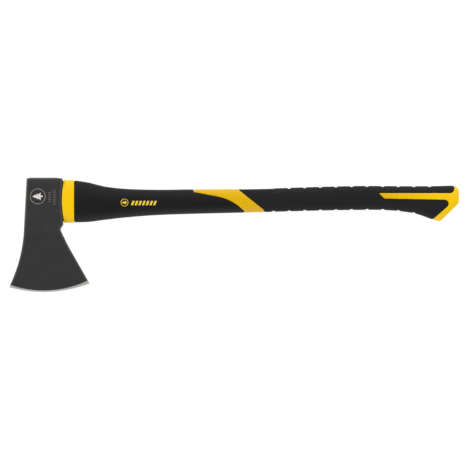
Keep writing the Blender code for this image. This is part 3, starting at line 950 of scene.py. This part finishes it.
body_rings = [inner_ring(spaced(body_outline, RIM_GAP), step) if step else body_outline
              for step in END_STEPS]
for outline in (sleeve_outline, grip_outline):
    fine = spaced(outline, RIM_GAP)
    body_rings += [inner_ring(fine, UNDER_STEP), outline]
    body_rings += [inner_ring(fine, -step) for step in LAND_STEPS[1:]]
sheet, triangles, _ = unrolled(body_rings, BODY_GRID, body_room,
                               lambda places: depth_inside(places, body_outline) > 0)
places = side_view(sheet)
depth = land_depth(places)
end_edge = np.where(places[:, 0] < BUTT_SIDE, COLLAR_EDGE, BUTT_EDGE)
inset = np.where(depth < -UNDER_STEP / 2, UNDER_SKIN, rounding(np.maximum(depth, 0), LAND_EDGE))
end_inset = rounding(np.maximum(depth_inside(places, body_outline), 0), end_edge)
flattened = np.where(places[:, 0] < BUTT_SIDE, 0, FLATTER * end_inset)
body_points, body_faces = solid_from_half(
    onto_handle(sheet, inset + end_inset - flattened, flattened), triangles)

# Polypropylene, injection moulded with a satin finish: full yellow, a soft broad
# shine, and a very slight orange-peel texture off the tool. Painted shade: the
# middle of the handle is drawn a little deeper in colour, for the light falling off there.
yellow_plastic, tree, place = new_material("yellow_moulded_polypropylene")
peel = add_node(tree, "ShaderNodeTexNoise", {"Vector": place, "Scale": 1 / 0.0012, "Detail": 3})
drift = add_node(tree, "ShaderNodeTexNoise", {"Vector": place, "Scale": 1 / 0.03, "Detail": 2})
fresh = add_node(tree, "ShaderNodeMix", {
    0: drift, 6: linear("F1C200"), 7: linear("F7CB00")}, data_type="RGBA")
length = add_node(tree, "ShaderNodeSeparateXYZ", {0: place})
shade_rise = add_node(tree, "ShaderNodeMapRange", {
    "Value": length, "From Min": 0.10, "From Max": 0.20}, interpolation_type="SMOOTHSTEP")
shade_fall = add_node(tree, "ShaderNodeMapRange", {
    "Value": length, "From Min": 0.50, "From Max": 0.64, "To Min": 1.0, "To Max": 0.0},
    interpolation_type="SMOOTHSTEP")
painted_shade = add_node(tree, "ShaderNodeMath", {0: shade_rise, 1: shade_fall}, operation="MULTIPLY")
# Painted shade: between x 0.10 and 0.64 m the yellow is mixed toward a deeper yellow.
tint = add_node(tree, "ShaderNodeMix", {
    0: painted_shade, 6: fresh, 7: linear("DEAF00")}, data_type="RGBA")
rough = add_node(tree, "ShaderNodeMapRange", {
    "Value": peel, "From Min": 0.3, "From Max": 0.7, "To Min": 0.33, "To Max": 0.42})
end_material(tree, {
    "Base Color": tint, "Roughness": rough, "IOR": 1.49, "Specular IOR Level": 0.25},
    height=peel, strength=0.15, distance=0.00008)

body = make_piece("handle_moulding", body_points, body_faces, [yellow_plastic])
tongue = make_piece("tongue", *loft([eye_ring(x, RESIN_THICKNESS) for x in TONGUE_SPAN]),
                    [yellow_plastic])
settle(body, tongue, operation="UNION")
channel_rings = []
for x in (TONGUE_SPAN[0] - CORE_PAST, CORE_END):
    channel_rings.append([
        (x, CORE_Y + math.copysign(CORE_FLAT, math.cos(t)) + CORE_RADIUS * math.cos(t),
         MID_Z + CORE_RADIUS * math.sin(t))
        for t in (2 * math.pi * (i + 0.5) / CORE_COUNT for i in range(CORE_COUNT))])
settle(body, make_piece("core_channel", *loft(channel_rings), []))
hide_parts("handle_body")
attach(body, "root")

# ---------------------------------------------------------------------------
# Front sleeve
# Black thermoplastic moulded over the body in front of the slanting band. It is
# 2.7 mm thick, and dips to a narrow groove wherever it meets the yellow.
# ---------------------------------------------------------------------------
SKIN_EDGE = 0.00015                       # clear of the yellow's wall
SKIN_INSIDE = 0.0027
COLLAR_PROUD = 0.0006
COLLAR_FADE = (0.050, 0.070)              # where that step begins and has run out
GROOVE = (                                # depth into the skin, and how far it is sunk
    (SKIN_EDGE, 0.0011), (0.0008, 0.0011), (0.0010, 0.0008), (0.0013, 0.0004), (0.0016, 0.0001),
    (0.0020, 0.0))
GROOVE_ROOM = 0.0006                      # between it and the grid of points
SLEEVE_GRID, INNER_GRID = (0.0020, 0.0016), 0.005


def groove_inset(depth):
    """Return how far a skin is sunk at a depth inside its outline."""
    return np.interp(depth, *zip(*GROOVE))


def moulded_skin(outline, grid_step, sink):
    """Return a closed skin's points and faces, and the unrolled place and depth of each point."""
    fine = spaced(outline, RIM_GAP)
    rings = [inner_ring(fine, depth) for depth, _ in GROOVE]

    def deeper(least):
        return lambda places: depth_inside(places, outline) > least

    inside, room = deeper(SKIN_EDGE - TOUCH), deeper(GROOVE[-1][0] + GROOVE_ROOM)
    outer, outer_faces, _ = unrolled(rings, grid_step, room, inside)
    inner, inner_faces, inner_count = unrolled(
        rings[:1], (INNER_GRID, INNER_GRID), deeper(INNER_GRID / 2), inside)
    depth = depth_inside(side_view(outer), outline)
    inset = groove_inset(depth) + sink(outer, depth)
    points, faces, twin = mirrored(onto_handle(outer, inset), outer_faces)
    inner_points, inner_all, inner_twin = mirrored(onto_handle(inner, SKIN_INSIDE), inner_faces)
    inner_all = inner_all[:, ::-1] + len(points)
    faces = faces.tolist() + inner_all.tolist()
    for a, b in open_edges(outer_faces):
        if a >= inner_count or b >= inner_count:
            continue                      # along the mid-plane, where the halves already join
        c, d = a + len(points), b + len(points)
        faces.append((b, a, c, d))
        c, d = inner_twin[a] + len(points), inner_twin[b] + len(points)
        wall = [int(v) for v in (twin[a], twin[b], d, c)]
        faces.append([v for i, v in enumerate(wall) if v not in wall[:i]])
    sheet = np.vstack((outer, outer[np.abs(points[:len(outer), 2] - MID_Z) > SEAM], inner,
                       inner[np.abs(inner_points[:len(inner), 2] - MID_Z) > SEAM]))
    depths = depth_inside(side_view(sheet), outline)
    depths[len(points):] = 0
    return np.vstack((points, inner_points)), faces, sheet, depths


def sleeve_sink(sheet, depth):
    """Let the collar stand a little proud of the sleeve's front end."""
    start, end = COLLAR_FADE
    return COLLAR_PROUD * np.clip((end - sheet[:, 0]) / (end - start), 0, 1)


# Thermoplastic rubber over polypropylene, from a spark-eroded tool: near black,
# with a fine even matt grain and a faint sheen along its rounded back.
sleeve_plastic, tree, place = new_material("black_spark_textured_thermoplastic")
GRAIN = 0.0009                # drawn coarser than the real 0.1 mm
grain = add_node(tree, "ShaderNodeTexNoise", {
    "Vector": place, "Scale": 1 / GRAIN, "Detail": 3, "Roughness": 0.6})
cloud = add_node(tree, "ShaderNodeTexNoise", {"Vector": place, "Scale": 1 / 0.025, "Detail": 3})
tint = add_node(tree, "ShaderNodeMix", {
    0: cloud, 6: linear("0B0A0A"), 7: linear("131212")}, data_type="RGBA")
rough = add_node(tree, "ShaderNodeMapRange", {
    "Value": grain, "From Min": 0.3, "From Max": 0.7, "To Min": 0.46, "To Max": 0.58})
end_material(tree, {
    "Base Color": tint, "Roughness": rough, "IOR": 1.49, "Specular IOR Level": 0.24},
    height=grain, strength=0.3, distance=0.0001)

points, faces, _, _ = moulded_skin(sleeve_outline, SLEEVE_GRID, sleeve_sink)
sleeve = settle(make_piece("front_overmould", points, faces, [sleeve_plastic]))
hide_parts("front_sleeve")
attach(sleeve, "root")

# ---------------------------------------------------------------------------
# Mark on the sleeve
# The same tree in a ring, and a run of slanted bars behind it, printed on one
# side of the sleeve in the handle's yellow.
# ---------------------------------------------------------------------------
BADGE_PLACE = (0.1270, -0.0022)
BADGE_RADII, BADGE_TREE = (0.0060, 0.0052), 0.0085
SLANTED_BAR = (0.0034, 0.0070, 0.0026)    # width, height and slant
BAR_ROW, BAR_Y = (0.1400, 0.1750, 7), -0.0030


def sleeve_surface(places):
    """Return the height of the handle's upper side."""
    middle_y, half_height, half_width = handle_size(places[:, 0])
    share = np.abs((places[:, 1] - middle_y) / half_height)
    return MID_Z + half_width * (1 - share ** SECTION_POWER) ** (1 / SECTION_POWER)


yellow_ink = ink_material("yellow_printing_ink", "D8B526", "EFCF3C", 0.5)
badge = [[placed(disc(radius), BADGE_PLACE) for radius in BADGE_RADII]]
badge.append([placed(TREE, BADGE_PLACE, BADGE_TREE, quarter)])
badge += [[placed(bar(*SLANTED_BAR), (x, BAR_Y))] for x in np.linspace(*BAR_ROW)]
mark = printed("sleeve_mark", badge, sleeve_surface, yellow_ink)
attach(mark, "root")

# ---------------------------------------------------------------------------
# Rear grip
# Softer matt rubber moulded over the body behind the band. Pads stand proud of
# it along the spine and the belly, parted by notches every 25 mm.
# ---------------------------------------------------------------------------
GRIP_GRID = (0.0009, 0.0014)
NOTCH_COUNT = 10
NOTCH_PITCH = 0.02466
SPINE_NOTCH, BELLY_NOTCH = 0.3868, 0.3623     # where the first of each row is
NOTCH_WIDTH = 0.0045
NOTCH_DEPTH = 0.0013
PAD_RISE = 0.0006
PAD_FROM = 0.0015                             # how deep in the grip it is sunk between them
PAD_EASE = 0.0012                             # how far in from the groove they reach full height
SPINE_REACH, BELLY_REACH = 0.0165, 0.0105     # how far round the pads come
PAD_TAPER = 0.0045                            # how much shorter they are beside a notch
TAPER_SHARE = 1.4                             # of a notch's width, where that has run out
PAD_SIDE = 0.0009                             # how wide the sides of a pad are
ROW_START = (-0.98, -0.90)                    # where a row's first pad rises, in pitches


def grip_sink(sheet, depth):
    """Sink the grip between its pads, from its groove on."""
    return PAD_RISE * np.clip((depth - PAD_FROM) / PAD_FROM, 0, 1)


points, faces, sheet, depths = moulded_skin(grip_outline, GRIP_GRID, grip_sink)

# Thermoplastic elastomer, moulded with a leathery pebble: the softest and
# dullest of the blacks, paler where the pads stand proud and catch dust.
grip_rubber, tree, place = new_material("black_pebbled_elastomer")
PEBBLE = 0.0014               # drawn coarser than the real 0.5 mm
pebble = add_node(tree, "ShaderNodeTexVoronoi", {"Vector": place, "Scale": 1 / PEBBLE})
grain = add_node(tree, "ShaderNodeTexNoise", {"Vector": place, "Scale": 1 / 0.0007, "Detail": 3})
cloud = add_node(tree, "ShaderNodeTexNoise", {
    "Vector": place, "Scale": 1 / 0.007, "Detail": 4, "Roughness": 0.65})
raised = add_node(tree, "ShaderNodeAttribute", attribute_name="raised").outputs["Fac"]
base = add_node(tree, "ShaderNodeMix", {
    0: cloud, 6: linear("0B0A0A"), 7: linear("141212")}, data_type="RGBA")
patchy = add_node(tree, "ShaderNodeMapRange", {
    "Value": cloud, "From Min": 0.35, "From Max": 0.65, "To Min": 0.2, "To Max": 1.0})
worn = add_node(tree, "ShaderNodeMath", {0: raised, 1: patchy}, operation="MULTIPLY")
tint = add_node(tree, "ShaderNodeMix", {
    0: worn, 6: base, 7: linear("1E1A19")}, data_type="RGBA")
rough = add_node(tree, "ShaderNodeMapRange", {
    "Value": grain, "From Min": 0.3, "From Max": 0.7, "To Min": 0.66, "To Max": 0.82})
height = add_node(tree, "ShaderNodeMath", {0: pebble, 1: grain}, operation="ADD")
end_material(tree, {
    "Base Color": tint, "Roughness": rough, "IOR": 1.49, "Specular IOR Level": 0.3},
    height=height, strength=0.4, distance=0.00015)

grip = make_piece("rear_overmould", points, faces, [grip_rubber])
outside = np.clip((depths - GROOVE[-1][0]) / PAD_EASE, 0, 1)
size_y, size_z = handle_size(sheet[:, 0])[1:]
girth = (size_y + size_z) / sum(MIDDLING)     # against the section that was unrolled
store(grip, outside=outside, from_spine=sheet[:, 1] * girth, from_belly=(WAY - sheet[:, 1]) * girth,
      raised=outside * 0)

# One row of pads: every point within reach of the row's line is lifted along its
# normal, less in the soft notches that repeat at the pitch.
pads = bpy.data.node_groups.new("row_of_pads", "GeometryNodeTree")
PAD_INPUTS = (("Geometry", "Geometry"), ("Way Round", "String"), ("First", "Float"), ("Pitch", "Float"),
              ("Count", "Int"), ("Width", "Float"), ("Depth", "Float"), ("Rise", "Float"),
              ("Reach", "Float"), ("Taper", "Float"), ("Rubber", "Material"))
for name, kind in PAD_INPUTS:
    pads.interface.new_socket(name, in_out="INPUT", socket_type="NodeSocket" + kind)
socket_keys = {item.name: item.identifier for item in pads.interface.items_tree}
pads.interface.new_socket("Geometry", in_out="OUTPUT", socket_type="NodeSocketGeometry")

field = {socket.name: socket for socket in add_node(pads, "NodeGroupInput").outputs}
field["x"] = add_node(pads, "ShaderNodeSeparateXYZ", {0: add_node(pads, "GeometryNodeInputPosition")})
for name, source in (("way", field["Way Round"]), ("outside", "outside"), ("raised", "raised")):
    field[name] = add_node(pads, "GeometryNodeInputNamedAttribute", {"Name": source}, data_type="FLOAT")
SUMS = (                                  # result, operation, and what goes in
    ("from_first", "SUBTRACT", "x", "First"), ("along", "DIVIDE", "from_first", "Pitch"),
    ("nearest", "ROUND", "along"), ("nearest", "MAXIMUM", "nearest", 0.0),
    ("last", "SUBTRACT", "Count", 1.0), ("nearest", "MINIMUM", "nearest", "last"),
    ("aside", "SUBTRACT", "along", "nearest"), ("aside", "ABSOLUTE", "aside"),
    ("aside", "MULTIPLY", "aside", "Pitch"), ("half", "MULTIPLY", "Width", 0.5),
    ("half_in", "SUBTRACT", "half", PAD_SIDE), ("half_out", "ADD", "half", PAD_SIDE),
    ("notch", "SMOOTHSTEP", "aside", "half_in", "half_out", 1.0, 0.0),
    ("taper_end", "MULTIPLY", "Width", TAPER_SHARE),
    ("beside", "SMOOTHSTEP", "aside", 0.0, "taper_end", "Taper", 0.0),
    ("reach", "SUBTRACT", "Reach", "beside"),
    ("reach_in", "SUBTRACT", "reach", PAD_SIDE), ("reach_out", "ADD", "reach", PAD_SIDE),
    ("within", "SMOOTHSTEP", "way", "reach_in", "reach_out", 1.0, 0.0),
    ("started", "SMOOTHSTEP", "along", *ROW_START, 0.0, 1.0),
    ("pad", "MULTIPLY", "within", "started"), ("pad", "MULTIPLY", "pad", "outside"),
    ("cut", "MULTIPLY", "notch", "Depth"), ("lift", "SUBTRACT", "Rise", "cut"),
    ("lift", "MULTIPLY", "pad", "lift"), ("top", "SUBTRACT", 1.0, "notch"),
    ("top", "MULTIPLY", "pad", "top"), ("top", "MAXIMUM", "top", "raised"))
for name, operation, *given in SUMS:
    given = [field.get(value, value) for value in given]
    if operation == "SMOOTHSTEP":
        sockets = ("Value", "From Min", "From Max", "To Min", "To Max")
        field[name] = add_node(pads, "ShaderNodeMapRange", dict(zip(sockets, given)),
                               interpolation_type=operation)
    else:
        field[name] = add_node(pads, "ShaderNodeMath", dict(enumerate(given)), operation=operation)
move = add_node(pads, "ShaderNodeVectorMath", {
    0: add_node(pads, "GeometryNodeInputNormal"), "Scale": field["lift"]}, operation="SCALE")
lifted = add_node(pads, "GeometryNodeSetPosition", {"Geometry": field["Geometry"], "Offset": move})
marked = add_node(pads, "GeometryNodeStoreNamedAttribute", {
    "Geometry": lifted, "Name": "raised", "Value": field["top"]}, data_type="FLOAT", domain="POINT")
real = add_node(pads, "GeometryNodeRealizeInstances", {"Geometry": marked})
skinned = add_node(pads, "GeometryNodeSetMaterial", {"Geometry": real, "Material": field["Rubber"]})
add_node(pads, "NodeGroupOutput", {"Geometry": skinned})

for way, first, reach in (("from_spine", SPINE_NOTCH, SPINE_REACH),
                          ("from_belly", BELLY_NOTCH, BELLY_REACH)):
    row = grip.modifiers.new(way, "NODES")
    row.node_group = pads
    sizes = (way, first, NOTCH_PITCH, NOTCH_COUNT, NOTCH_WIDTH, NOTCH_DEPTH, PAD_RISE, reach,
             PAD_TAPER, grip_rubber)
    for (name, _), value in zip(PAD_INPUTS[1:], sizes):
        row[socket_keys[name]] = value
settle(grip)
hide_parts("rear_grip")
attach(grip, "root")
